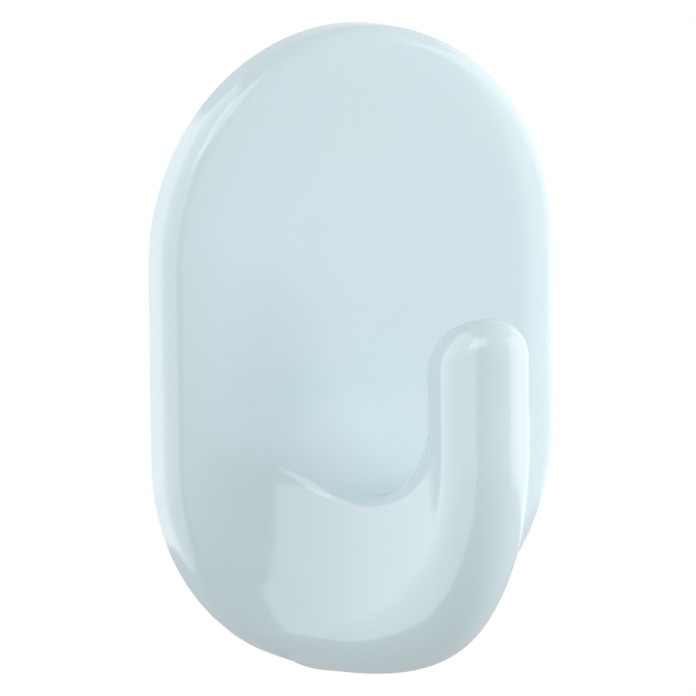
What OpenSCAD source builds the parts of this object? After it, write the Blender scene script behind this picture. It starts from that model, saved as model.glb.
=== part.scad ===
// Removable adhesive wall hook: an oval cover with one J-shaped arm slides onto a base plate,
// and a stretch-release strip holds the base plate on the wall.
// The wall is the plane Y = 0, the hook points along -Y, and the origin is the centre of the strip's wall face.

/* [Cover] */
// Width of the oval cover
plate_width = 45.3; // [42:0.1:60]
// Height of the oval cover
plate_height = 64.5; // [62:0.5:90]
// Gap between the wall and the back edge of the cover
wall_gap = 0.9; // [0.8:0.05:1.2]
// Thickness of the cover's front wall
face_wall = 2.4; // [2:0.1:3]
// Thickness of the cover's side wall
skirt_wall = 1.6; // [1.2:0.1:2]
// Radius of the roll at the cover's edge
roll_radius = 2; // [1.6:0.1:2.4]
// Width of the crown, over which the face bends down towards the roll
crown_width = 5; // [3:0.1:6]
// Drop of the face where it meets the roll
crown_drop = 0.4; // [0.2:0.05:0.6]

/* [Hook arm] */
// Distance from the wall to the front of the hook
hook_reach = 30.3; // [27:0.1:40]
// Width of the upright finger
finger_width = 9.6; // [8:0.1:13]
// Depth of the upright finger, back to front
finger_depth = 9.4; // [8:0.1:12]
// Height of the fingertip above the saddle
throat_height = 18.9; // [16:0.1:30]
// Drop of the saddle below the middle of the cover
saddle_drop = 12.8; // [8:0.1:15]
// Radius of the fillet between the sides of the arm and the face
root_fillet = 9; // [6:0.1:10]
// Radius of the fillet between the saddle and the face
saddle_fillet = 9.5; // [6:0.1:10]
// Height of the bend from the saddle up to the back of the finger
finger_bend = 8; // [5:0.1:9]
// Drop, below the middle of the cover, where the front of the finger starts to curve under
front_drop = 8.2; // [4:0.1:12]
// Width of the arm at the face, before its fillets
root_width = 21; // [16:0.1:23]
// How far the arm's foot hangs below the bottom of the cover
foot_drop = 0.4; // [0.1:0.1:0.8]
// Room left between the fillet and the outline of the cover
fillet_inset = 0.5; // [0.3:0.1:1]
// Height of the dome on the front of the fingertip
dome_front = 3.2; // [2:0.1:5]
// Height of the dome on the back of the fingertip
dome_back = 6; // [4:0.1:8]
// Wall left above the cored slots
arm_wall = 2.4; // [1.8:0.1:3]
// Wall left below the cored slots at the foot
foot_wall = 4; // [3:0.1:5]
// Width of a cored slot
slot_width = 3.4; // [2:0.1:4]
// Rib between two cored slots
slot_rib = 1.4; // [1:0.1:2]

/* [Base plate] */
// Width of the base plate
base_width = 24; // [18:0.5:26]
// Height of the base plate
base_height = 40; // [34:0.5:42]
// Thickness of the base plate
base_thickness = 2.4; // [2.2:0.05:2.8]
// Corner radius of the base plate
base_corner = 4; // [2:0.5:6]
// How far a lug stands out from the side of the base plate
lug_reach = 2; // [1.5:0.1:2.5]
// Length of a lug along the slide
lug_length = 6; // [4:0.1:7]
// Thickness of a lug
lug_thickness = 1.1; // [0.9:0.05:1.2]
// Distance between the two lugs on one side
lug_pitch = 18; // [16:0.5:22]

/* [Clips] */
// Thickness of a clip's upright
clip_wall = 1.4; // [1:0.1:2]
// Thickness of a clip's lip
lip_thickness = 0.8; // [0.6:0.05:0.85]
// Play between the sliding faces
slide_play = 0.12; // [0.1:0.01:0.2]
// Play beside the lugs
side_play = 0.2; // [0.1:0.05:0.3]
// Gap between the stop rib and the base plate
seat_gap = 0.1; // [0.05:0.05:0.2]
// Width of the stop rib
stop_width = 16; // [10:0.5:20]
// Thickness of the stop rib
stop_wall = 1.5; // [1:0.1:2]

/* [Strip] */
// Width of the strip
strip_width = 20; // [14:0.5:22]
// Height of the strip's adhesive
strip_height = 38; // [30:0.5:40]
// Thickness of the stretch film
core_thickness = 0.45; // [0.4:0.05:0.6]
// Thickness of one adhesive layer
adhesive_thickness = 0.08; // [0.06:0.01:0.12]
// Thickness of one tab film
film_thickness = 0.06; // [0.04:0.01:0.06]
// Length of the pull tab below the adhesive
tab_length = 9; // [6:0.5:10]
// Corner radius of the pull tab
tab_corner = 4; // [2:0.5:6]
// Gap between a tab film and the adhesive beside it
film_gap = 0.2; // [0.1:0.05:0.5]

/* [Hidden] */
$fn = 96;

// Overrun of cuts and of pieces that merge
overrun = 0.2;

// Levels, measured forwards from the wall
core_level = adhesive_thickness + core_thickness;
strip_level = core_level + adhesive_thickness;
base_level = strip_level + base_thickness;
inner_level = base_level + slide_play;
face_level = inner_level + face_wall;
lug_level = base_level - lug_thickness;
lip_front = lug_level - slide_play;
lip_back = lip_front - lip_thickness;

// Heights, measured up from the middle of the cover
saddle_up = -saddle_drop;
tip_up = saddle_up + throat_height;
foot_up = -plate_height / 2 - foot_drop;
front_up = -front_drop;
base_top = base_height / 2;

// Outline of the cover
end_radius = plate_width / 2;
end_offset = plate_height / 2 - end_radius;

// Edge of the cover: the crown meets the roll at an angle, at an inset from the outline
roll_angle = atan(2 * crown_drop / crown_width);
roll_inset = roll_radius * (1 - sin(roll_angle));
crown_inset = roll_inset + crown_width;
shoulder_level = face_level - crown_drop - roll_radius * cos(roll_angle);

// Depths of the arm
finger_back = hook_reach - finger_depth;
arm_depth = hook_reach - face_level;
throat_depth = finger_back - face_level;
taper_depth = throat_depth + finger_depth / 2;
arm_height = front_up - foot_up;

// Shape of the arm, as shares of its sizes
belly_low_shares = [0.7, 0.096];
belly_high_shares = [0.955, 0.43];
fillet_pull_share = 0.55;
bend_pull_share = 0.58;
bend_side_share = 0.38;
tip_share = 0.7;
taper_power = 1.75;
fit_power = 6;
foot_round_share = 0.18;
belly_round_share = 0.37;
finger_round_share = 0.46;
root_round_share = 0.2;
root_edge_share = 0.42;
saddle_round_share = 0.1;
saddle_edge_share = 0.3;
finger_edge_share = 0.92;
dome_last_angle = 80;

// Fineness of the arm's surface
bend_steps = 26;
bend_crowding = 1.5;
finger_steps = 3;
dome_steps = 8;
side_steps = 3;
arc_step = 11.25;
roll_steps = 8;
crown_steps = 5;

// Centre lines in the side view, as [forwards, up]
root_curve = [
    [face_level, saddle_up + saddle_fillet],
    [face_level, saddle_up + saddle_fillet * (1 - fillet_pull_share)],
    [face_level + saddle_fillet * fillet_pull_share, saddle_up],
    [face_level + throat_depth / 2, saddle_up]
];
finger_curve = [
    [face_level + throat_depth / 2, saddle_up],
    [face_level + throat_depth / 2 * (1 + bend_pull_share), saddle_up],
    [finger_back, saddle_up + finger_bend * bend_side_share],
    [finger_back, saddle_up + finger_bend]
];
belly_curve = [
    [face_level, foot_up],
    [face_level + arm_depth * belly_low_shares[0], foot_up + arm_height * belly_low_shares[1]],
    [face_level + arm_depth * belly_high_shares[0], foot_up + arm_height * belly_high_shares[1]],
    [hook_reach, front_up]
];

function mix(a, b, share) = a + (b - a) * share;

function bezier(p, t) =
    pow(1 - t, 3) * p[0] + 3 * t * pow(1 - t, 2) * p[1] + 3 * t * t * (1 - t) * p[2] + pow(t, 3) * p[3];

function inner_line(t) = t < 0.5 ? bezier(root_curve, 2 * t) : bezier(finger_curve, 2 * t - 1);

function outer_line(t) = bezier(belly_curve, t);

// Distance from the wall to the front of the cover, at an inset from its outline
function front_level(inset) =
    inset >= crown_inset ? face_level
    : inset >= roll_inset ? face_level - crown_drop * pow((crown_inset - inset) / crown_width, 2)
    : shoulder_level + sqrt(max(0, roll_radius * roll_radius - pow(roll_radius - max(inset, 0), 2)));

// How far up or down a point lies beyond the straight sides of the cover
function beyond(up) = max(abs(up) - end_offset, 0);

// How much of the fillet there is room for beside an arm of a given half width, at a height on the cover
function fit_share(half, up) =
    let (edge = sqrt(max(0, end_radius * end_radius - beyond(up) * beyond(up))))
    let (room = max(0, edge - fillet_inset - half) / root_fillet)
    room / pow(1 + pow(room, fit_power), 1 / fit_power);

// How far the fillet at the face spreads the arm's side at a distance from the wall
function flare(forwards) =
    let (rest = min(max(root_fillet - (forwards - face_level), 0), root_fillet))
    root_fillet - sqrt(root_fillet * root_fillet - rest * rest);

// Half the arm's width at a distance from the wall and a height on the cover
function half_width(forwards, up) =
    let (taper = pow(max(0, 1 - (forwards - face_level) / taper_depth), taper_power))
    let (half = mix(finger_width, root_width, taper) / 2)
    half + flare(forwards) * fit_share(half, up);

// How far a point near the face is lowered to follow the cover's edge
function drape(across, up, forwards) =
    let (inset = end_radius - norm([across, beyond(up)]))
    let (near = max(0, 1 - (forwards - face_level) / root_fillet))
    (face_level - front_level(inset)) * near * near;

// A point of a section: along runs from the inner line to the outer line, side from -1 to 1
function section_point(inner, outer, along, side) =
    let (p = mix(inner, outer, along))
    let (across = side * half_width(p[0], p[1]))
    [across, p[1], p[0] - drape(across, p[1], p[0])];

// A closed ring: an oval belly and two rounded saddle edges
function ring(inner, outer, belly_share, saddle_share, edge_share, width_share) = concat(
    [for (a = [0 : arc_step : 180])
        section_point(inner, outer, 1 - belly_share * (1 - sin(a)), width_share * cos(a))],
    [for (i = [1 : side_steps])
        section_point(inner, outer, mix(1 - belly_share, saddle_share, i / (side_steps + 1)), -width_share)],
    [for (a = [180 : arc_step : 270])
        section_point(inner, outer, saddle_share * (1 + sin(a)),
            width_share * (edge_share * (1 + cos(a)) - 1))],
    [for (a = [270 : arc_step : 360])
        section_point(inner, outer, saddle_share * (1 + sin(a)),
            width_share * (1 - edge_share * (1 - cos(a))))],
    [for (i = [1 : side_steps])
        section_point(inner, outer, mix(saddle_share, 1 - belly_share, i / (side_steps + 1)), width_share)]
);

// The ring at a share of the way from the face to the foot of the finger
function bend_ring(t) = ring(
    inner_line(t),
    outer_line(t),
    t < 0.5 ? mix(foot_round_share, belly_round_share, 2 * t)
        : mix(belly_round_share, finger_round_share, 2 * t - 1),
    t < 0.5 ? mix(root_round_share, saddle_round_share, 2 * t)
        : mix(saddle_round_share, finger_round_share, pow(2 * t - 1, 2)),
    t < 0.5 ? mix(root_edge_share, saddle_edge_share, 2 * t)
        : mix(saddle_edge_share, finger_edge_share, pow(2 * t - 1, 2)),
    1
);

// The ring at a share of the way up the straight finger
function finger_ring(t) = ring(
    mix(inner_line(1), [finger_back, tip_up - dome_back], t),
    mix(outer_line(1), [hook_reach, tip_up - dome_front], t),
    finger_round_share,
    finger_round_share,
    finger_edge_share,
    1
);

// The ring at an angle over the domed tip
function dome_ring(angle) = let (tip = finger_back + finger_depth * tip_share) ring(
    [mix(tip, finger_back, cos(angle)), tip_up - dome_back * (1 - sin(angle))],
    [mix(tip, hook_reach, cos(angle)), tip_up - dome_front * (1 - sin(angle))],
    finger_round_share,
    finger_round_share,
    finger_edge_share,
    cos(angle)
);

// The first ring again, sunk into the face wall
function sunk_ring() = [for (p = bend_ring(0)) [p[0], p[1], p[2] - face_wall / 2]];

function middle(points) = [for (p = points) 1] * points / len(points);

module closed_loft(rings) {
    count = len(rings[0]);
    last = len(rings) - 1;
    sides = [for (i = [0 : last - 1]) for (j = [0 : count - 1]) let (k = (j + 1) % count) each [
        [i * count + j, (i + 1) * count + k, (i + 1) * count + j],
        [i * count + j, i * count + k, (i + 1) * count + k]
    ]];
    first_hub = len(rings) * count;
    last_hub = first_hub + 1;
    ends = [for (j = [0 : count - 1]) let (k = (j + 1) % count) each [
        [first_hub, k, j],
        [last_hub, last * count + j, last * count + k]
    ]];
    hubs = [middle(rings[0]), middle(rings[last])];
    polyhedron(points = concat([for (r = rings) each r], hubs), faces = concat(sides, ends));
}

// Everything is drawn lying on the wall, with X to the right, Y up and Z forwards, and then stood up
module stood_up() {
    rotate([90, 0, 0]) children();
}

module slab(from, to) {
    translate([0, 0, from]) linear_extrude(to - from) children();
}

module oval(radius) {
    square([2 * radius, 2 * end_offset], center = true);
    for (side = [-1, 1]) {
        translate([0, side * end_offset]) circle(radius);
    }
}

module rounded_rectangle(width, height, radius) {
    square([width, height - 2 * radius], center = true);
    square([width - 2 * radius, height], center = true);
    for (x = [-1, 1]) {
        for (y = [-1, 1]) {
            translate([x * (width / 2 - radius), y * (height / 2 - radius)]) circle(radius);
        }
    }
}

// Section of the cover's edge, out from the middle of an end and forwards from the wall
module edge_section() {
    roll_insets = [for (i = [0 : roll_steps]) roll_radius * (1 - cos(i / roll_steps * (90 - roll_angle)))];
    crown_insets = [for (i = [1 : crown_steps]) roll_inset + i / crown_steps * crown_width];
    polygon(concat(
        [[end_radius - crown_inset, wall_gap], [end_radius, wall_gap]],
        [for (inset = concat(roll_insets, crown_insets)) [end_radius - inset, front_level(inset)]]
    ));
}

module edge() {
    for (turn = [0, 180]) {
        rotate(turn) {
            translate([0, end_offset]) rotate_extrude(angle = 180) edge_section();
            translate([0, end_offset]) rotate([90, 0, 0]) linear_extrude(2 * end_offset) edge_section();
        }
    }
}

module arm() {
    closed_loft(concat(
        [sunk_ring()],
        [for (i = [0 : bend_steps]) bend_ring(pow(i / bend_steps, bend_crowding))],
        [for (i = [1 : finger_steps]) finger_ring(i / finger_steps)],
        [for (i = [1 : dome_steps]) dome_ring(dome_last_angle * i / dome_steps)]
    ));
}

// Slots that core the arm from behind: a deep one in the middle and a shallow one on each side
module arm_slots() {
    slot_top = saddle_up - arm_wall;
    slot_bottom = foot_up + foot_wall;
    deep_share = 0.85;
    shallow_share = 0.3;
    rise_share = 0.45;
    for (i = [-1 : 1]) {
        share = i == 0 ? deep_share : shallow_share;
        slot_front = mix(inner_level, finger_back, share);
        slot_rise = mix(slot_bottom, slot_top, rise_share * share);
        translate([i * (slot_width + slot_rib), 0, 0]) rotate([0, 90, 0])
            linear_extrude(slot_width, center = true) polygon([
                [overrun - inner_level, slot_top],
                [overrun - inner_level, slot_bottom],
                [-slot_front, slot_rise],
                [-slot_front, slot_top]
            ]);
    }
}

// A clip: an upright beside the lug and a lip behind it
module clip() {
    upright = base_width / 2 + lug_reach + side_play;
    lip = base_width / 2 + side_play;
    translate([upright, -lug_length / 2, lip_back])
        cube([clip_wall, lug_length, inner_level + overrun - lip_back]);
    translate([lip, -lug_length / 2, lip_back])
        cube([upright + overrun - lip, lug_length, lip_thickness]);
}

module at_lugs() {
    for (turn = [0, 180]) {
        for (up = [-1, 1]) {
            rotate(turn) translate([0, up * lug_pitch / 2, 0]) children();
        }
    }
}

module hook_cover() {
    color([0.84, 0.9, 0.92]) stood_up() {
        difference() {
            union() {
                slab(wall_gap, face_level) oval(end_radius - crown_inset);
                edge();
                arm();
            }
            slab(wall_gap - overrun, inner_level) oval(end_radius - skirt_wall);
            arm_slots();
        }
        at_lugs() clip();
        translate([-stop_width / 2, base_top + seat_gap, strip_level + slide_play])
            cube([stop_width, stop_wall, base_thickness + overrun]);
    }
}

module base_plate() {
    color([0.87, 0.88, 0.88]) stood_up() {
        slab(strip_level, base_level) rounded_rectangle(base_width, base_height, base_corner);
        at_lugs() translate([base_width / 2 - overrun, -lug_length / 2, lug_level])
            cube([lug_reach + overrun, lug_length, lug_thickness]);
    }
}

// Outline of the strip from the top of its adhesive to the round end of its tab
module strip_outline() {
    translate([0, -tab_length / 2])
        rounded_rectangle(strip_width, strip_height + tab_length, tab_corner);
    translate([-strip_width / 2, 0]) square([strip_width, strip_height / 2]);
}

module adhesive_outline() {
    square([strip_width, strip_height], center = true);
}

module tab_outline() {
    intersection() {
        strip_outline();
        translate([-strip_width, -strip_height / 2 - film_gap - 2 * tab_length])
            square([2 * strip_width, 2 * tab_length]);
    }
}

module strip_core() {
    color([0.93, 0.93, 0.9]) stood_up() slab(adhesive_thickness, core_level) strip_outline();
}

module front_adhesive() {
    color([0.9, 0.88, 0.78]) stood_up() slab(core_level, strip_level) adhesive_outline();
}

module rear_adhesive() {
    color([0.9, 0.88, 0.78]) stood_up() slab(0, adhesive_thickness) adhesive_outline();
}

module tab_film_front() {
    color([0.8, 0.85, 0.88]) stood_up() slab(core_level, core_level + film_thickness) tab_outline();
}

module tab_film_rear() {
    color([0.8, 0.85, 0.88]) stood_up()
        slab(adhesive_thickness - film_thickness, adhesive_thickness) tab_outline();
}

hook_cover();
base_plate();
strip_core();
front_adhesive();
rear_adhesive();
tab_film_front();
tab_film_rear();
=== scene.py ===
"""Dresses a removable adhesive wall hook: its cover and arm, the base plate, the strip and a small studio."""

import math

import bmesh
import bpy
from bpy.props import FloatProperty, FloatVectorProperty, PointerProperty
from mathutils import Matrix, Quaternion, Vector


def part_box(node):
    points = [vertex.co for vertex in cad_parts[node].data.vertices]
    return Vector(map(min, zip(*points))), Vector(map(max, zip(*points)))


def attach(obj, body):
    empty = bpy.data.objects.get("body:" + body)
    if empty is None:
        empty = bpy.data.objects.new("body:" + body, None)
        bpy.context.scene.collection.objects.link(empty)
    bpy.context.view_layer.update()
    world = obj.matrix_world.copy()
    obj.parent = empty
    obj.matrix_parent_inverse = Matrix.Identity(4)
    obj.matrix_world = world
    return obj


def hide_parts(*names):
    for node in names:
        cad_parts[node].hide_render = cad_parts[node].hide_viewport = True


bl_info = {
    "name": "Adhesive wall hook",
    "version": (1, 0, 0),
    "blender": (4, 5, 0),
    "location": "3D View > Sidebar > Wall hook",
    "description": "Models a removable adhesive wall hook around its packed frame",
    "category": "Object",
}

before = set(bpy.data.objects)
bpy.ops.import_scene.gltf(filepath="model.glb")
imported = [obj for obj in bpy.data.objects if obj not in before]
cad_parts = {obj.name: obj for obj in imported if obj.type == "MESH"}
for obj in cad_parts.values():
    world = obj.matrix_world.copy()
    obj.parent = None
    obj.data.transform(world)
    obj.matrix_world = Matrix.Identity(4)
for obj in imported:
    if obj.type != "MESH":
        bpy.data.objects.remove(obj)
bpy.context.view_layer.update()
COVER_LOW, COVER_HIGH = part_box("hook_cover")
BASE_LOW, BASE_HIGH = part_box("base_plate")
MM = 0.001


def size(name, description, metres):
    """A length that a user can change."""
    return FloatProperty(
        name=name, description=description, default=metres, min=0, precision=5,
        unit="LENGTH", subtype="DISTANCE"
    )


def angle(name, description, degrees):
    """An angle that a user can change."""
    return FloatProperty(name=name, description=description, default=math.radians(degrees), subtype="ANGLE")


def brightness(name, level):
    """The brightness of a lamp or the room, which a user can change."""
    description = f"Brightness of the {name.lower()}, where 1 is white"
    return FloatProperty(name=name, description=description, default=level, min=0)


def colour(name, description, red, green, blue):
    """A colour that a user can change, given in display values from 0 to 255."""
    linear = [srgb_to_linear(channel / 255) for channel in (red, green, blue)]
    return FloatVectorProperty(
        name=name, description=description, default=linear, min=0, max=1, subtype="COLOR"
    )


def srgb_to_linear(value):
    """A display value from 0 to 1 as scene light, by the sRGB formula."""
    return value / 12.92 if value <= 0.04045 else ((value + 0.055) / 1.055) ** 2.4


class PlateSizes(bpy.types.PropertyGroup):
    """Sizes of the oval plate with its rolled edge and hollow back."""

    width: size("Width", "Width of the oval plate", COVER_HIGH.x - COVER_LOW.x)
    height: size("Height", "Height of the oval plate", 2 * COVER_HIGH.z)
    wall_gap: size("Wall gap", "Gap between the wall and the back edge of the plate", 0.9 * MM)
    skirt_wall: size("Skirt wall", "Thickness of the wall round the pocket", 1.6 * MM)
    pocket_level: size("Pocket level", "Distance from the wall to the floor of the pocket", 3.13 * MM)
    face_level: size("Face level", "Distance from the wall to the face", 5.53 * MM)
    roll_radius: size("Roll radius", "Radius of the roll at the edge", 2 * MM)
    crown_width: size("Crown width", "Width over which the face bends down towards the roll", 5 * MM)
    crown_drop: size("Crown drop", "Drop of the face where it meets the roll", 0.4 * MM)
    edge_round: size("Edge round", "Rounding of the back edges", 0.15 * MM)


class ArmSizes(bpy.types.PropertyGroup):
    """Sizes of the hook arm, from its root on the face to the tip of its finger."""

    reach: size("Reach", "Distance from the wall to the front of the finger", -COVER_LOW.y)
    finger_width: size("Finger width", "Width of the upright finger", 9.6 * MM)
    finger_depth: size("Finger depth", "Depth of the upright finger", 9.4 * MM)
    throat_height: size("Throat height", "Height of the tip above the saddle", 18.9 * MM)
    saddle_drop: size("Saddle drop", "Drop of the saddle below the middle of the plate", 12.8 * MM)
    root_fillet: size("Root fillet", "Radius between the arm's sides and the face", 9 * MM)
    saddle_fillet: size("Saddle fillet", "Radius between the saddle and the face", 9.5 * MM)
    finger_bend: size("Finger bend", "Height of the bend from the saddle to the finger", 8 * MM)
    front_drop: size("Front drop", "Drop where the front of the finger starts to curve under", 8.2 * MM)
    root_width: size("Root width", "Width of the arm at the face, before its fillets", 21 * MM)
    foot_drop: size("Foot drop", "How far the arm's foot hangs below the bottom of the plate", 0.4 * MM)
    fillet_inset: size("Fillet inset", "Room left between the fillet and the outline of the plate", 0.5 * MM)
    dome_front: size("Dome front", "Height of the dome on the front of the tip", 3.2 * MM)
    dome_back: size("Dome back", "Height of the dome on the back of the tip", 6 * MM)


class FittingSizes(bpy.types.PropertyGroup):
    """Sizes of the clips, stop rib and slots behind the cover, and of the base plate that they hold."""

    base_width: size("Base width", "Width of the base plate between its lugs", 24 * MM)
    base_corner: size("Base corner", "Corner radius of the base plate", 4 * MM)
    lug_length: size("Lug length", "Length of a lug along the slide", 6 * MM)
    lug_thickness: size("Lug thickness", "Thickness of a lug", 1.1 * MM)
    lug_pitch: size("Lug pitch", "Distance between the two lugs on one side", 18 * MM)
    clip_wall: size("Clip wall", "Thickness of a clip's upright", 1.4 * MM)
    lip_thickness: size("Lip thickness", "Thickness of a clip's lip", 0.8 * MM)
    slide_play: size("Slide play", "Play between the sliding faces", 0.12 * MM)
    side_play: size("Side play", "Play beside the lugs", 0.2 * MM)
    seat_gap: size("Seat gap", "Gap between the stop rib and the base plate", 0.1 * MM)
    stop_width: size("Stop width", "Width of the stop rib", 16 * MM)
    stop_wall: size("Stop wall", "Thickness of the stop rib", 1.5 * MM)
    slot_width: size("Slot width", "Width of a cored slot", 3.4 * MM)
    slot_rib: size("Slot rib", "Rib between two cored slots", 1.4 * MM)
    arm_wall: size("Arm wall", "Wall left above the cored slots", 2.4 * MM)
    foot_wall: size("Foot wall", "Wall left below the cored slots", 4 * MM)
    edge_round: size("Edge round", "Rounding of the edges", 0.15 * MM)
    overlap: size("Overlap", "How deep a joined shape is sunk", 0.2 * MM)


class HookColours(bpy.types.PropertyGroup):
    """Colours of the plastics, the film and the adhesive."""

    cover: colour("Cover", "Pale plastic of the cover", 213, 231, 236)
    cover_shade: colour("Cover shade", "Slightly deeper tone of the cover's plastic", 209, 228, 234)
    base: colour("Base plate", "Plastic of the base plate", 226, 229, 228)
    film: colour("Stretch film", "Film in the middle of the strip", 238, 238, 230)
    adhesive: colour("Adhesive", "Adhesive of the strip", 229, 224, 199)
    tab: colour("Tab film", "Dry film on the pull tab", 206, 219, 227)


class StudioSizes(bpy.types.PropertyGroup):
    """Camera, lamps and floor."""

    camera_distance: size("Camera distance", "Distance of the camera from the hook", 1.0)
    camera_azimuth: angle("Camera azimuth", "Angle of the camera to the hook's left", -31.8)
    camera_elevation: angle("Camera elevation", "Angle of the camera above the hook", 9.8)
    camera_roll: angle("Camera roll", "Turn of the camera about its line of sight", -0.7)
    view_width: size("View width", "Width of the picture at the hook", 69.2 * MM)
    aim_right: size("Aim right", "How far the picture's centre lies to the right of the origin", 0.79 * MM)
    aim_down: size("Aim down", "How far the picture's centre lies below the origin", 0.52 * MM)
    shine_distance: size("Shine distance", "Distance of the lamps that the gloss mirrors", 0.6)
    fill_distance: size("Fill distance", "Distance of the lamps that light the colour", 0.9)
    left_shine: brightness("Left shine", 1.8)
    upper_shine: brightness("Upper shine", 2.2)
    right_shine: brightness("Right shine", 1.7)
    far_shine: brightness("Far shine", 0.8)
    left_fill: brightness("Left fill", 0.58)
    right_fill: brightness("Right fill", 1.75)
    room_light: brightness("Room light", 0.635)
    floor_drop: size("Floor drop", "Height of the hook above the floor", 1.5)
    floor_size: size("Floor size", "Width of the floor", 8.0)


# Pull of the curves along the belly, the saddle and the bend, and where the tip lies in the finger's depth
BELLY_LOW_SHARES = (0.7, 0.096)
BELLY_HIGH_SHARES = (0.955, 0.43)
FILLET_PULL_SHARE = 0.55
BEND_PULL_SHARE = 0.58
BEND_SIDE_SHARE = 0.38
TIP_SHARE = 0.7

# Roundings of the arm's section at its root, at the bend and at the finger, and how fast the arm narrows
BELLY_ROUND_SHARES = (0.18, 0.37, 0.46)
SADDLE_ROUND_SHARES = (0.2, 0.1, 0.46)
SADDLE_EDGE_SHARES = (0.42, 0.3, 0.92)
TAPER_POWER = 1.75

# Tightness of the corner where one of two numbers takes over from the other
CORNER_SHARPNESS = 6

# Depths of the cored slots behind the arm, and how far their floors rise
DEEP_SHARE = 0.85
SHALLOW_SHARE = 0.3
SLOT_RISE_SHARE = 0.45

# Azimuths and elevations, in degrees from the hook, where each lamp starts and ends.
# A shine is only mirrored by the gloss, and a fill only lights the colour.
SHINES = {
    "left_shine": ((-165, -34), (-52, 70)),
    "upper_shine": ((-60, -8), (30, 62)),
    "right_shine": ((44, 82), (-20, 30)),
    "far_shine": ((82, 118), (-20, 30)),
}
FILLS = {"left_fill": ((-150, -55), (-20, 50)), "right_fill": ((20, 85), (-15, 38))}

# Tone of the floor, how much of white the camera sees on top of it, and the camera's sensor in millimetres
FLOOR_TONE = 0.85
FLOOR_LIFT = 0.6
SENSOR_WIDTH = 36

# Scales of the finishes' patterns, where a larger one is finer, and depths of their relief
CLOUD_SCALE = 70
SKIN_SCALE = 420
GRAIN_SCALE = 4500
GRAIN_PATCH_SCALE = 120
LINE_SCALE = 900
LINE_STRETCH = (1, 1, 0.06)
PEBBLE_SCALE = 1400
SPECK_SCALE = 300
WAVE_SCALE = 260
WAVE_PATCH_SCALE = 200
FINE_RELIEF = 0.02 * MM
GRAIN_RELIEF = 0.03 * MM
PEBBLE_RELIEF = 0.04 * MM
PLASTIC_IOR = 1.5

# Fineness of the rounded edges, the angle past which an edge is sharp, and the gap that closes on merging
EDGE_SEGMENTS = 2
BASE_EDGE_SEGMENTS = 3
SHARP_ANGLE = math.radians(35)
MERGE_DISTANCE = 0.002 * MM

# Fineness of the cover's skin
BELLY_STEPS = 72
SIDE_STEPS = 10
CORNER_STEPS = 20
TOP_STEPS = 40
ROLL_STEPS = 14
CROWN_STEPS = 6
FACE_STEPS = 10
BEND_STEPS = 64
BEND_CROWDING = 1.8
FINGER_STEPS = 8
DOME_STEPS = 16


def mix(first, last, part):
    """The value or point at a part of the way from first to last."""
    return first + (last - first) * part


def bezier(points, t):
    """A point of a cubic curve."""
    rest = 1 - t
    ends = points[0] * rest**3 + points[3] * t**3
    return ends + points[1] * (3 * t * rest**2) + points[2] * (3 * t * t * rest)


def smooth_min(first, second):
    """The smaller of two numbers, with a soft corner, or the first where that isn't above zero."""
    if first <= 0:
        return first
    return (first**-CORNER_SHARPNESS + second**-CORNER_SHARPNESS) ** (-1 / CORNER_SHARPNESS)


def steps(first, last, count):
    """Count even steps from first to last, without first."""
    return [mix(first, last, i / count) for i in range(1, count + 1)]


def place(across, up, forwards):
    """A point from its distance to the right, up, and forwards from the wall."""
    return Vector((across, -forwards, up))


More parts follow.
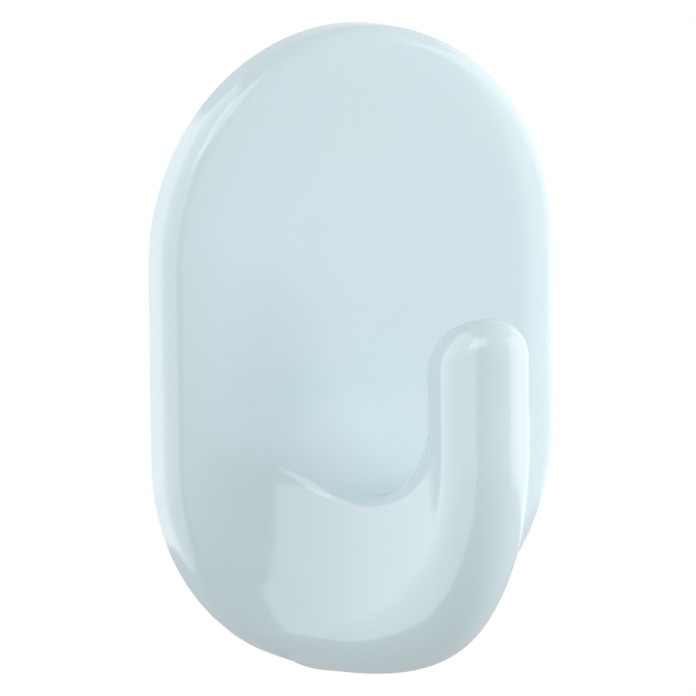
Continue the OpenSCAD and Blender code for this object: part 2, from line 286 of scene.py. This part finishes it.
class Plate:
    """The oval plate: where its outline runs and how far its front stands from the wall."""

    def __init__(self, sizes):
        self.sizes = sizes
        self.radius = sizes.width / 2
        self.end = sizes.height / 2 - self.radius
        self.roll_angle = math.atan(2 * sizes.crown_drop / sizes.crown_width)
        self.roll_inset = sizes.roll_radius * (1 - math.sin(self.roll_angle))
        self.crown_inset = self.roll_inset + sizes.crown_width
        self.shoulder = sizes.face_level - sizes.crown_drop - sizes.roll_radius * math.cos(self.roll_angle)

    def beyond(self, up):
        """How far up or down a point lies beyond the straight sides."""
        return max(abs(up) - self.end, 0)

    def half_width(self, up):
        """Half the plate's width at a height."""
        return math.sqrt(max(0, self.radius**2 - self.beyond(up) ** 2))

    def inset(self, across, up):
        """How far a point of the plate lies in from its outline."""
        return self.radius - math.hypot(across, self.beyond(up))

    def front_level(self, inset):
        """Distance from the wall to the front of the plate, at an inset from its outline."""
        sizes = self.sizes
        if inset >= self.crown_inset:
            return sizes.face_level
        if inset >= self.roll_inset:
            return sizes.face_level - sizes.crown_drop * ((self.crown_inset - inset) / sizes.crown_width) ** 2
        rest = sizes.roll_radius - max(inset, 0)
        return self.shoulder + math.sqrt(max(0, sizes.roll_radius**2 - rest**2))

    def edge_insets(self):
        """Insets of the rows that follow the edge from its shoulder, over the roll and up the crown."""
        turns = steps(0, math.pi / 2 - self.roll_angle, ROLL_STEPS)
        roll = [self.sizes.roll_radius * (1 - math.cos(turn)) for turn in turns]
        return roll + steps(self.roll_inset, self.crown_inset, CROWN_STEPS)

    def back_rows(self):
        """Insets and levels of the rows from the pocket's floor, round the back edge, to the shoulder."""
        sizes = self.sizes
        edge = sizes.edge_round
        back = sizes.wall_gap
        return [
            (sizes.skirt_wall, sizes.pocket_level),
            (sizes.skirt_wall, back + edge),
            (sizes.skirt_wall - edge, back),
            (edge, back),
            (0, back + edge),
            (0, mix(back + edge, self.shoulder, 0.5)),
            (0, self.shoulder),
        ]

    def below(self, across, up):
        """The nearest point of the lower end's outline, and the direction in."""
        inward = -Vector((across, up + self.end)).normalized()
        return Vector((0, -self.end)) - inward * self.radius, inward

    def above(self, part):
        """A point of the outline part of the way from the left side over the top, and the direction in."""
        straight = 2 * self.end
        length = 2 * straight + math.pi * self.radius
        run = part * length
        if run < straight:
            return Vector((-self.radius, run - self.end)), Vector((1, 0))
        if run > length - straight:
            return Vector((self.radius, length - run - self.end)), Vector((-1, 0))
        turn = (run - straight) / self.radius
        inward = Vector((math.cos(turn), -math.sin(turn)))
        return Vector((0, self.end)) - inward * self.radius, inward


class Arm:
    """The hook arm: a section that sweeps from its root on the face, round the bend and up the finger."""

    def __init__(self, sizes, plate):
        self.sizes = sizes
        self.plate = plate
        self.face = plate.sizes.face_level
        self.back = sizes.reach - sizes.finger_depth
        self.throat = self.back - self.face
        self.saddle = -sizes.saddle_drop
        self.tip = self.saddle + sizes.throat_height
        self.stations = self.section_stations()

    def section_stations(self):
        """The columns of the skin, each as a stretch of the section and a place on that stretch."""
        half, whole = math.pi, 2 * math.pi
        return (
            [("belly", a) for a in [0] + steps(0, half, BELLY_STEPS)]
            + [("left", part) for part in steps(0, 1, SIDE_STEPS)[:-1]]
            + [("left_edge", a) for a in [half] + steps(half, 1.5 * half, CORNER_STEPS)]
            + [("top", part) for part in steps(0, 1, TOP_STEPS)[:-1]]
            + [("right_edge", a) for a in [1.5 * half] + steps(1.5 * half, whole, CORNER_STEPS)]
            + [("right", part) for part in steps(0, 1, SIDE_STEPS)[:-1]]
        )

    def section_place(self, station, belly, saddle, edge):
        """How far a station lies along from the inner line to the outer line, and to the side."""
        stretch, value = station
        if stretch == "belly":
            return 1 - belly * (1 - math.sin(value)), math.cos(value)
        if stretch == "left":
            return mix(1 - belly, saddle, value), -1
        if stretch == "left_edge":
            return saddle * (1 + math.sin(value)), edge * (1 + math.cos(value)) - 1
        if stretch == "top":
            return 0, mix(edge - 1, 1 - edge, value)
        if stretch == "right_edge":
            return saddle * (1 + math.sin(value)), 1 - edge * (1 - math.cos(value))
        return mix(saddle, 1 - belly, value), 1

    def inner_line(self, t):
        """The line down the face, along the saddle and up the back of the finger, as forwards and up."""
        sizes, face, saddle = self.sizes, self.face, self.saddle
        middle = Vector((face + self.throat / 2, saddle))
        if t < 0.5:
            root = (
                Vector((face, saddle + sizes.saddle_fillet)),
                Vector((face, saddle + sizes.saddle_fillet * (1 - FILLET_PULL_SHARE))),
                Vector((face + sizes.saddle_fillet * FILLET_PULL_SHARE, saddle)),
                middle,
            )
            return bezier(root, 2 * t)
        bend = (
            middle,
            Vector((face + self.throat / 2 * (1 + BEND_PULL_SHARE), saddle)),
            Vector((self.back, saddle + sizes.finger_bend * BEND_SIDE_SHARE)),
            Vector((self.back, saddle + sizes.finger_bend)),
        )
        return bezier(bend, 2 * t - 1)

    def outer_line(self, t, foot):
        """The line along the belly from the foot to the front of the finger, as forwards and up."""
        sizes = self.sizes
        start = Vector((self.face, foot))
        end = Vector((sizes.reach, -sizes.front_drop))
        span = end - start
        low = start + span * Vector(BELLY_LOW_SHARES)
        high = start + span * Vector(BELLY_HIGH_SHARES)
        return bezier((start, low, high, end), t)

    def half_width(self, forwards, up):
        """Half the arm's width at a place, with a fillet that spreads at the face as far as there is room."""
        sizes = self.sizes
        length = self.throat + sizes.finger_depth / 2
        taper = max(0, 1 - (forwards - self.face) / length) ** TAPER_POWER
        half = mix(sizes.finger_width, sizes.root_width, taper) / 2
        rest = min(max(sizes.root_fillet - (forwards - self.face), 0), sizes.root_fillet)
        flare = sizes.root_fillet - math.sqrt(sizes.root_fillet**2 - rest**2)
        room = max(0, self.plate.half_width(up) - sizes.fillet_inset - half)
        return half + flare * smooth_min(room / sizes.root_fillet, 1)

    def point(self, inner, outer, along, side):
        """A section's point as across, up and forwards, lowered near the face to follow the plate's edge."""
        forwards, up = mix(inner, outer, along)
        across = side * self.half_width(forwards, up)
        near = max(0, 1 - (forwards - self.face) / self.sizes.root_fillet)
        drop = self.face - self.plate.front_level(self.plate.inset(across, up))
        return Vector((across, up, forwards - drop * near**2))

    def bend_point(self, station, t, foot):
        """A station's point at a part of the way from the root to the finger."""
        late = max(2 * t - 1, 0)
        early = min(2 * t, 1)

        def shared(shares, power):
            return mix(mix(shares[0], shares[1], early), shares[2], late**power)

        belly = shared(BELLY_ROUND_SHARES, 1)
        saddle = shared(SADDLE_ROUND_SHARES, 2)
        edge = shared(SADDLE_EDGE_SHARES, 2)
        along, side = self.section_place(station, belly, saddle, edge)
        return self.point(self.inner_line(t), self.outer_line(t, foot), along, side)

    def finger_ring(self, inner, outer, width):
        """A ring of the finger between its back and its front."""
        shares = BELLY_ROUND_SHARES[2], SADDLE_ROUND_SHARES[2], SADDLE_EDGE_SHARES[2]
        ring = []
        for station in self.stations:
            along, side = self.section_place(station, *shares)
            ring.append(self.point(inner, outer, along, side * width))
        return ring

    def finger_rings(self, foot):
        """The rings up the straight finger and over its domed tip."""
        sizes = self.sizes
        inner, outer = self.inner_line(1), self.outer_line(1, foot)
        top_inner = Vector((self.back, self.tip - sizes.dome_back))
        top_outer = Vector((sizes.reach, self.tip - sizes.dome_front))
        rings = [
            self.finger_ring(mix(inner, top_inner, t), mix(outer, top_outer, t), 1)
            for t in steps(0, 1, FINGER_STEPS)
        ]
        peak = Vector((self.back + sizes.finger_depth * TIP_SHARE, self.tip))
        for turn in steps(0, math.pi / 2, DOME_STEPS):
            spread, rise = math.cos(turn), math.sin(turn)
            inner = Vector((mix(peak.x, self.back, spread), self.tip - sizes.dome_back * (1 - rise)))
            outer = Vector((mix(peak.x, sizes.reach, spread), self.tip - sizes.dome_front * (1 - rise)))
            rings.append(self.finger_ring(inner, outer, spread))
        return rings


class CoverSkin:
    """The cover's skin as closed rings, from the floor of its pocket, over the edge, to the finger's tip."""

    def __init__(self, plate_sizes, arm_sizes):
        self.plate = Plate(plate_sizes)
        self.arm = Arm(arm_sizes, self.plate)
        self.foot = -plate_sizes.height / 2 - arm_sizes.foot_drop
        self.roots = [self.arm.bend_point(station, 0, self.foot) for station in self.arm.stations]
        self.edges = self.outline_edges()

    def outline_edges(self):
        """For each column, the point of the outline that it starts from and the direction in from it."""
        end = self.plate.end
        roots = [root.xy for root in self.roots]
        upper = [i for i, root in enumerate(roots) if root.y > -end]
        path = [roots[upper[0] - 1]] + [roots[i] for i in upper] + [roots[(upper[-1] + 1) % len(roots)]]
        path[0] = mix(path[0], path[1], (-end - path[0].y) / (path[1].y - path[0].y))
        path[-1] = mix(path[-1], path[-2], (-end - path[-1].y) / (path[-2].y - path[-1].y))
        runs = [0]
        for first, last in zip(path, path[1:]):
            runs.append(runs[-1] + (last - first).length)
        parts = {i: run / runs[-1] for i, run in zip(upper, runs[1:])}
        return [
            self.plate.above(parts[i]) if i in parts else self.plate.below(*root)
            for i, root in enumerate(roots)
        ]

    def rings(self):
        """All the rings in order, each a list of points."""
        plate, arm = self.plate, self.arm
        rings = [
            [place(*(edge + inward * inset), level) for edge, inward in self.edges]
            for inset, level in plate.back_rows()
        ]
        for row in plate.edge_insets():
            rings.append([self.on_plate(flat) for flat in self.row_points(row)])
        feet = self.row_points(plate.crown_inset)
        for part in steps(0, 1, FACE_STEPS):
            rings.append([self.on_plate(mix(foot, root.xy, part)) for foot, root in zip(feet, self.roots)])
        for part in steps(0, 1, BEND_STEPS):
            turn = part**BEND_CROWDING
            rings.append([place(*arm.bend_point(station, turn, self.foot)) for station in arm.stations])
        rings += [[place(*point) for point in ring] for ring in arm.finger_rings(self.foot)]
        return rings

    def row_points(self, row):
        """Each column's point at an inset from the outline, or at its root where that comes first."""
        points = []
        for (edge, inward), root in zip(self.edges, self.roots):
            room = max(self.plate.inset(root.x, root.y), 0)
            points.append(edge + inward * smooth_min(room, row))
        return points

    def on_plate(self, flat):
        """A point on the front of the plate."""
        return place(*flat, self.plate.front_level(self.plate.inset(*flat)))


def lay_skin(bm, rings):
    """Lays a grid over closed rings of points, one row to a ring, and closes it round."""
    columns, rows = len(rings[0]), len(rings) - 1
    skin = bmesh.ops.create_grid(bm, x_segments=columns, y_segments=rows, size=0.5)
    for vert in skin["verts"]:
        column = round((vert.co.x + 0.5) * columns) % columns
        row = round((vert.co.y + 0.5) * rows)
        vert.co = rings[row][column]
    bmesh.ops.remove_doubles(bm, verts=bm.verts, dist=MERGE_DISTANCE)


def draw_out(bm, faces, run):
    """Draws flat faces out to a solid along a run, and returns the vertices that moved."""
    drawn = bmesh.ops.extrude_face_region(bm, geom=faces, use_keep_orig=True)
    moved = [item for item in drawn["geom"] if isinstance(item, bmesh.types.BMVert)]
    bmesh.ops.translate(bm, verts=moved, vec=run)
    return moved


def add_prism(bm, corners, run, edge_round=0):
    """Adds a solid by drawing a flat outline out along a run, and rounds its edges."""
    outline = bm.faces.new([bm.verts.new(corner) for corner in corners])
    verts = set(outline.verts).union(draw_out(bm, [outline], run))
    if edge_round:
        edges = [edge for edge in bm.edges if edge.verts[0] in verts]
        round_edges(bm, edges, edge_round, EDGE_SEGMENTS)


def add_at_lugs(bm, profile, fittings):
    """Adds a solid at each of the four lugs, from an outline given as across and forwards."""
    for up in (-fittings.lug_pitch / 2, fittings.lug_pitch / 2):
        for side in (-1, 1):
            low = up - fittings.lug_length / 2
            corners = [place(side * across, low, forwards) for across, forwards in profile]
            add_prism(bm, corners, Vector((0, 0, fittings.lug_length)), fittings.edge_round)


def round_edges(bm, edges, radius, segments):
    """Rounds edges."""
    bmesh.ops.bevel(
        bm, geom=edges, offset=radius, offset_type="OFFSET", affect="EDGES",
        segments=segments, profile=0.5, material=-1
    )


def new_object(name, bm):
    """An object in the scene that holds a finished mesh."""
    bmesh.ops.recalc_face_normals(bm, faces=bm.faces)
    mesh = bpy.data.meshes.new(name)
    bm.to_mesh(mesh)
    bm.free()
    piece = bpy.data.objects.new(name, mesh)
    bpy.context.scene.collection.objects.link(piece)
    return piece


def combine(piece, tool, operation):
    """Joins a tool to a piece or cuts it out, and removes the tool."""
    modifier = piece.modifiers.new("Combine", "BOOLEAN")
    modifier.object = tool
    modifier.operation = operation
    modifier.solver = "EXACT"
    depsgraph = bpy.context.evaluated_depsgraph_get()
    mesh = bpy.data.meshes.new_from_object(piece.evaluated_get(depsgraph))
    piece.modifiers.clear()
    piece.data = mesh
    bpy.data.objects.remove(tool)


def shade(piece):
    """Shades a piece smoothly, apart from its sharp edges."""
    bm = bmesh.new()
    bm.from_mesh(piece.data)
    for face in bm.faces:
        face.smooth = True
    for edge in bm.edges:
        edge.smooth = edge.calc_face_angle(0) < SHARP_ANGLE
    bm.to_mesh(piece.data)
    bm.free()


class Value:
    """A number that a finish's nodes work out; arithmetic on it adds Math nodes."""

    def __init__(self, finish, socket):
        self.finish = finish
        self.socket = socket

    def math(self, operation, first, second):
        """The result of a new Math node."""
        node = self.finish.node("ShaderNodeMath", {"operation": operation}, {0: first, 1: second})
        return Value(self.finish, node.outputs[0])

    def __add__(self, other):
        return self.math("ADD", self, other)

    def __radd__(self, other):
        return self.math("ADD", other, self)

    def __sub__(self, other):
        return self.math("SUBTRACT", self, other)

    def __rsub__(self, other):
        return self.math("SUBTRACT", other, self)

    def __mul__(self, other):
        return self.math("MULTIPLY", self, other)

    def __rmul__(self, other):
        return self.math("MULTIPLY", other, self)


class Finish:
    """The nodes of a material or of the world, and the few ways in which this file adds to them."""

    def __init__(self, owner):
        owner.use_nodes = True
        self.owner = owner
        self.tree = owner.node_tree
        self.tree.nodes.clear()

    def node(self, kind, settings=None, inputs=None):
        """Adds a node, with its settings first and then the values or links of its sockets."""
        node = self.tree.nodes.new(kind)
        for name, value in (settings or {}).items():
            setattr(node, name, value)
        for name, value in (inputs or {}).items():
            socket = node.inputs[name]
            if isinstance(value, Value):
                self.tree.links.new(value.socket, socket)
            elif isinstance(value, bpy.types.NodeSocket):
                self.tree.links.new(value, socket)
            else:
                socket.default_value = value
        return node

    def value(self, kind, output, settings=None, inputs=None):
        """A new node's output, ready for arithmetic."""
        return Value(self, self.node(kind, settings, inputs).outputs[output])

    def noise(self, scale, detail=3, stretch=(1, 1, 1)):
        """Noise over the piece, with a scale in patches to the metre."""
        coordinates = self.node("ShaderNodeTexCoord").outputs["Object"]
        mapping = self.node("ShaderNodeMapping", inputs={"Vector": coordinates, "Scale": stretch})
        inputs = {"Vector": mapping.outputs[0], "Scale": scale, "Detail": detail}
        return self.value("ShaderNodeTexNoise", "Fac", inputs=inputs)

    def seen(self):
        """1 for what the camera sees, straight, in a gloss or through a clear piece, and 0 otherwise."""
        rays = self.node("ShaderNodeLightPath").outputs
        camera = Value(self, rays["Is Camera Ray"])
        gloss = Value(self, rays["Is Glossy Ray"])
        clear = Value(self, rays["Is Transmission Ray"])
        return 1 - (1 - camera) * (1 - gloss) * (1 - clear)

    def tone(self, first, second, part):
        """A colour between two colours."""
        inputs = {0: part, 6: (*first, 1), 7: (*second, 1)}
        return self.node("ShaderNodeMix", {"data_type": "RGBA"}, inputs).outputs[2]

    def bump(self, height, distance, strength):
        """A normal bent by a relief."""
        inputs = {"Height": height, "Distance": distance, "Strength": strength}
        return self.node("ShaderNodeBump", inputs=inputs).outputs[0]

    def surface(self, inputs):
        """A principled surface as the material's look."""
        shader = self.node("ShaderNodeBsdfPrincipled", inputs=inputs)
        self.node("ShaderNodeOutputMaterial", inputs={"Surface": shader.outputs[0]})


def new_finish(name):
    """A finish on a new material."""
    return Finish(bpy.data.materials.new(name))


def deeper(tone, share):
    """A share of a colour's light."""
    return [channel * share for channel in tone]


def moulded_gloss(colours):
    """Glossy moulded plastic, with a faint cloudiness and a skin that isn't quite even."""
    finish = new_finish("moulded_gloss")
    clouds = finish.noise(CLOUD_SCALE, detail=2)
    skin = finish.noise(SKIN_SCALE, detail=2)
    finish.surface({
        "Base Color": finish.tone(colours.cover, colours.cover_shade, clouds),
        "Roughness": 0.1 + 0.06 * skin,
        "IOR": PLASTIC_IOR,
        "Normal": finish.bump(skin, FINE_RELIEF, strength=0.15),
    })
    return finish.owner


def moulded_matt(colours):
    """Matt plastic with a fine sparked grain."""
    finish = new_finish("moulded_matt")
    grain = finish.noise(GRAIN_SCALE, detail=4)
    patches = finish.noise(GRAIN_PATCH_SCALE)
    finish.surface({
        "Base Color": finish.tone(colours.base, deeper(colours.base, 0.93), patches),
        "Roughness": 0.48 + 0.14 * grain,
        "IOR": PLASTIC_IOR,
        "Normal": finish.bump(grain, GRAIN_RELIEF, strength=0.5),
    })
    return finish.owner


def stretch_film(colours):
    """Soft film with faint lines along its stretch."""
    finish = new_finish("stretch_film")
    lines = finish.noise(LINE_SCALE, stretch=LINE_STRETCH)
    finish.surface({
        "Base Color": finish.tone(colours.film, deeper(colours.film, 0.9), lines),
        "Roughness": 0.34 + 0.16 * lines,
        "Normal": finish.bump(lines, FINE_RELIEF, strength=0.4),
    })
    return finish.owner


def tacky_adhesive(colours):
    """Tacky adhesive with a pebbled surface and small cloudy specks."""
    finish = new_finish("tacky_adhesive")
    pebbles = finish.noise(PEBBLE_SCALE, detail=5)
    specks = finish.noise(SPECK_SCALE)
    finish.surface({
        "Base Color": finish.tone(colours.adhesive, deeper(colours.adhesive, 0.86), specks),
        "Roughness": 0.22 + 0.2 * pebbles,
        "Normal": finish.bump(pebbles, PEBBLE_RELIEF, strength=0.5),
    })
    return finish.owner


def dry_film(colours):
    """Dry satin film with fine embossed lines across it."""
    finish = new_finish("dry_film")
    coordinates = finish.node("ShaderNodeTexCoord").outputs["Object"]
    inputs = {"Vector": coordinates, "Scale": WAVE_SCALE, "Distortion": 0}
    waves = finish.value("ShaderNodeTexWave", "Fac", {"bands_direction": "DIAGONAL"}, inputs)
    patches = finish.noise(WAVE_PATCH_SCALE)
    finish.surface({
        "Base Color": finish.tone(colours.tab, deeper(colours.tab, 0.92), patches),
        "Roughness": 0.3 + 0.12 * waves,
        "Normal": finish.bump(waves, FINE_RELIEF, strength=0.4),
    })
    return finish.owner


def dress(piece, material):
    """Gives a piece one material all over."""
    piece.data.materials.clear()
    piece.data.materials.append(material)


class HOOK_OT_cover(bpy.types.Operator):
    """Model the cover with its arm, the clips behind it and the slots that core it"""

    bl_idname = "wall_hook.cover"
    bl_label = "Cover"

    def execute(self, context):
        scene = context.scene
        plate, arm, fittings = scene.hook_plate, scene.hook_arm, scene.hook_fittings
        bm = bmesh.new()
        lay_skin(bm, CoverSkin(plate, arm).rings())
        bmesh.ops.edgeloop_fill(bm, edges=[edge for edge in bm.edges if edge.is_boundary])
        cover = new_object("cover", bm)
        combine(cover, self.clips(plate, fittings), "UNION")
        combine(cover, self.slots(plate, arm, fittings), "DIFFERENCE")
        shade(cover)
        dress(cover, moulded_gloss(scene.hook_colours))
        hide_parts("hook_cover")
        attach(cover, "cover")
        return {"FINISHED"}

    def clips(self, plate, fittings):
        """The four clips and the stop rib that stand on the floor of the pocket."""
        bm = bmesh.new()
        sunk = plate.pocket_level + fittings.overlap
        lip_front = -BASE_LOW.y - fittings.lug_thickness - fittings.slide_play
        lip_back = lip_front - fittings.lip_thickness
        lip = fittings.base_width / 2 + fittings.side_play
        upright = BASE_HIGH.x + fittings.side_play
        outside = upright + fittings.clip_wall
        profile = (
            (lip, lip_back), (outside, lip_back), (outside, sunk),
            (upright, sunk), (upright, lip_front), (lip, lip_front)
        )
        add_at_lugs(bm, profile, fittings)
        half = fittings.stop_width / 2
        bottom = BASE_HIGH.z + fittings.seat_gap
        top = bottom + fittings.stop_wall
        back = -BASE_HIGH.y + fittings.slide_play
        outline = ((-half, bottom), (half, bottom), (half, top), (-half, top))
        corners = [place(across, up, back) for across, up in outline]
        add_prism(bm, corners, Vector((0, back - sunk, 0)), fittings.edge_round)
        return new_object("clips", bm)

    def slots(self, plate, arm, fittings):
        """The three slots that core the arm from behind: a deep one between two shallow ones."""
        bm = bmesh.new()
        mouth = plate.pocket_level - fittings.overlap
        top = -arm.saddle_drop - fittings.arm_wall
        bottom = fittings.foot_wall - plate.height / 2 - arm.foot_drop
        for step, depth in ((-1, SHALLOW_SHARE), (0, DEEP_SHARE), (1, SHALLOW_SHARE)):
            front = mix(plate.pocket_level, arm.reach - arm.finger_depth, depth)
            rise = mix(bottom, top, SLOT_RISE_SHARE * depth)
            left = step * (fittings.slot_width + fittings.slot_rib) - fittings.slot_width / 2
            profile = ((top, mouth), (bottom, mouth), (rise, front), (top, front))
            add_prism(bm, [place(left, *point) for point in profile], Vector((fittings.slot_width, 0, 0)))
        return new_object("slots", bm)


class HOOK_OT_base_plate(bpy.types.Operator):
    """Model the base plate with the lugs that the cover's clips slide behind"""

    bl_idname = "wall_hook.base_plate"
    bl_label = "Base plate"

    def execute(self, context):
        scene = context.scene
        fittings = scene.hook_fittings
        base = self.plate(fittings)
        combine(base, self.lugs(fittings), "UNION")
        shade(base)
        dress(base, moulded_matt(scene.hook_colours))
        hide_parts("base_plate")
        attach(base, "wall_side")
        return {"FINISHED"}

    def plate(self, fittings):
        """A flat plate with round corners and soft edges."""
        bm = bmesh.new()
        half = fittings.base_width / 2
        low, high, back = BASE_LOW.z, BASE_HIGH.z, BASE_HIGH.y
        corners = [Vector((x, back, z)) for x, z in ((-half, low), (half, low), (half, high), (-half, high))]
        outline = bm.faces.new([bm.verts.new(corner) for corner in corners])
        bmesh.ops.bevel(
            bm, geom=outline.verts[:], offset=fittings.base_corner, offset_type="OFFSET", affect="VERTICES",
            segments=CORNER_STEPS, profile=0.5, material=-1
        )
        draw_out(bm, bm.faces[:], Vector((0, BASE_LOW.y - back, 0)))
        rims = [edge for edge in bm.edges if edge.verts[0].co.y == edge.verts[1].co.y]
        round_edges(bm, rims, fittings.edge_round, BASE_EDGE_SEGMENTS)
        return new_object("base_plate_moulding", bm)

    def lugs(self, fittings):
        """Four lugs flush with the front of the plate."""
        bm = bmesh.new()
        inside = fittings.base_width / 2 - fittings.overlap
        front = -BASE_LOW.y
        back = front - fittings.lug_thickness
        profile = ((inside, back), (BASE_HIGH.x, back), (BASE_HIGH.x, front), (inside, front))
        add_at_lugs(bm, profile, fittings)
        return new_object("lugs", bm)


class HOOK_OT_strip(bpy.types.Operator):
    """Finish the layers of the removable strip: its film, its adhesive and the dry film on its tab"""

    bl_idname = "wall_hook.strip"
    bl_label = "Strip"

    def execute(self, context):
        colours = context.scene.hook_colours
        adhesive, tab = tacky_adhesive(colours), dry_film(colours)
        layers = {
            "strip_core": stretch_film(colours),
            "front_adhesive": adhesive,
            "rear_adhesive": adhesive,
            "tab_film_front": tab,
            "tab_film_rear": tab,
        }
        for node, material in layers.items():
            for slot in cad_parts[node].material_slots:
                slot.material = material
        return {"FINISHED"}


class HOOK_OT_studio(bpy.types.Operator):
    """Set up the floor, the room, the lamps and the camera"""

    bl_idname = "wall_hook.studio"
    bl_label = "Studio"

    def execute(self, context):
        scene = context.scene
        studio = scene.hook_studio
        scene.view_settings.view_transform = "Standard"
        self.floor(studio)
        self.room(scene, studio)
        for name, (azimuths, elevations) in SHINES.items():
            shine = self.lamp(scene, name, studio.shine_distance, getattr(studio, name), azimuths, elevations)
            shine.visible_diffuse = False
        for name, (azimuths, elevations) in FILLS.items():
            fill = self.lamp(scene, name, studio.fill_distance, getattr(studio, name), azimuths, elevations)
            fill.visible_glossy = False
        self.camera(scene, studio)
        return {"FINISHED"}

    def floor(self, studio):
        """A plain pale floor, well below the hook, that looks white from above and still takes a shadow."""
        bm = bmesh.new()
        bmesh.ops.create_grid(bm, x_segments=1, y_segments=1, size=studio.floor_size / 2)
        bmesh.ops.translate(bm, verts=bm.verts, vec=Vector((0, 0, -studio.floor_drop)))
        floor = new_object("floor", bm)
        finish = new_finish("pale_floor")
        tone = (FLOOR_TONE, FLOOR_TONE, FLOOR_TONE, 1)
        diffuse = finish.node("ShaderNodeBsdfDiffuse", inputs={"Color": tone})
        seen = finish.value("ShaderNodeLightPath", "Is Camera Ray")
        glow = finish.node("ShaderNodeEmission", inputs={"Strength": FLOOR_LIFT * seen})
        both = finish.node("ShaderNodeAddShader", inputs={0: diffuse.outputs[0], 1: glow.outputs[0]})
        finish.node("ShaderNodeOutputMaterial", inputs={"Surface": both.outputs[0]})
        dress(floor, finish.owner)

    def room(self, scene, studio):
        """A room of even light that looks white, straight or in a gloss."""
        scene.world = bpy.data.worlds.new("room")
        finish = Finish(scene.world)
        strength = studio.room_light + (1 - studio.room_light) * finish.seen()
        light = finish.node("ShaderNodeBackground", inputs={"Color": (1, 1, 1, 1), "Strength": strength})
        finish.node("ShaderNodeOutputWorld", inputs={"Surface": light.outputs[0]})

    def lamp(self, scene, name, distance, level, azimuths, elevations):
        """A large upright softbox that spans a range of azimuths and of elevations as seen from the hook."""
        middle, half = math.radians(sum(azimuths) / 2), math.radians((azimuths[1] - azimuths[0]) / 2)
        bottom, top = (distance * math.tan(math.radians(elevation)) for elevation in elevations)
        data = bpy.data.lights.new(name, "AREA")
        data.shape = "RECTANGLE"
        data.size = 2 * distance * math.tan(half)
        data.size_y = top - bottom
        data.energy = level * math.pi * data.size * data.size_y
        lamp = bpy.data.objects.new(name, data)
        outwards = Vector((math.sin(middle), -math.cos(middle), 0))
        lamp.location = outwards * distance + Vector((0, 0, (top + bottom) / 2))
        lamp.rotation_euler = outwards.to_track_quat("Z", "Y").to_euler()
        scene.collection.objects.link(lamp)
        return lamp

    def camera(self, scene, studio):
        """A camera at the left of the hook and a little above it."""
        azimuth, elevation = studio.camera_azimuth, studio.camera_elevation
        level = math.cos(elevation)
        back = Vector((math.sin(azimuth) * level, -math.cos(azimuth) * level, math.sin(elevation)))
        turn = back.to_track_quat("Z", "Y") @ Quaternion((0, 0, 1), studio.camera_roll)
        data = bpy.data.cameras.new("camera")
        data.sensor_width = SENSOR_WIDTH
        data.lens = data.sensor_width * studio.camera_distance / studio.view_width
        camera = bpy.data.objects.new("camera", data)
        aim = turn @ Vector((studio.aim_right, -studio.aim_down, 0))
        camera.location = aim + back * studio.camera_distance
        camera.rotation_euler = turn.to_euler()
        scene.collection.objects.link(camera)
        scene.camera = camera


class HOOK_PT_panel(bpy.types.Panel):
    """Lists the steps that build the hook, and the sizes and colours that they use"""

    bl_idname = "HOOK_PT_panel"
    bl_label = "Wall hook"
    bl_space_type = "VIEW_3D"
    bl_region_type = "UI"
    bl_category = "Wall hook"

    def draw(self, context):
        for operator in OPERATORS:
            self.layout.operator(operator.bl_idname)
        for group in GROUPS:
            box = self.layout.box()
            box.label(text=group.bl_rna.name)
            settings = getattr(context.scene, GROUPS[group])
            for name in group.__annotations__:
                box.prop(settings, name)


OPERATORS = (HOOK_OT_cover, HOOK_OT_base_plate, HOOK_OT_strip, HOOK_OT_studio)
GROUPS = {
    PlateSizes: "hook_plate",
    ArmSizes: "hook_arm",
    FittingSizes: "hook_fittings",
    HookColours: "hook_colours",
    StudioSizes: "hook_studio",
}


def register():
    """Registers the groups, operators and panel."""
    for group, name in GROUPS.items():
        bpy.utils.register_class(group)
        setattr(bpy.types.Scene, name, PointerProperty(type=group))
    for item in (*OPERATORS, HOOK_PT_panel):
        bpy.utils.register_class(item)


def unregister():
    """Takes everything back out, in the opposite order."""
    for item in (HOOK_PT_panel, *reversed(OPERATORS)):
        bpy.utils.unregister_class(item)
    for group, name in reversed(GROUPS.items()):
        delattr(bpy.types.Scene, name)
        bpy.utils.unregister_class(group)


def main():
    """Builds the hook and its studio."""
    register()
    bpy.ops.wall_hook.cover()
    bpy.ops.wall_hook.base_plate()
    bpy.ops.wall_hook.strip()
    bpy.ops.wall_hook.studio()


if __name__ == "__main__":
    main()
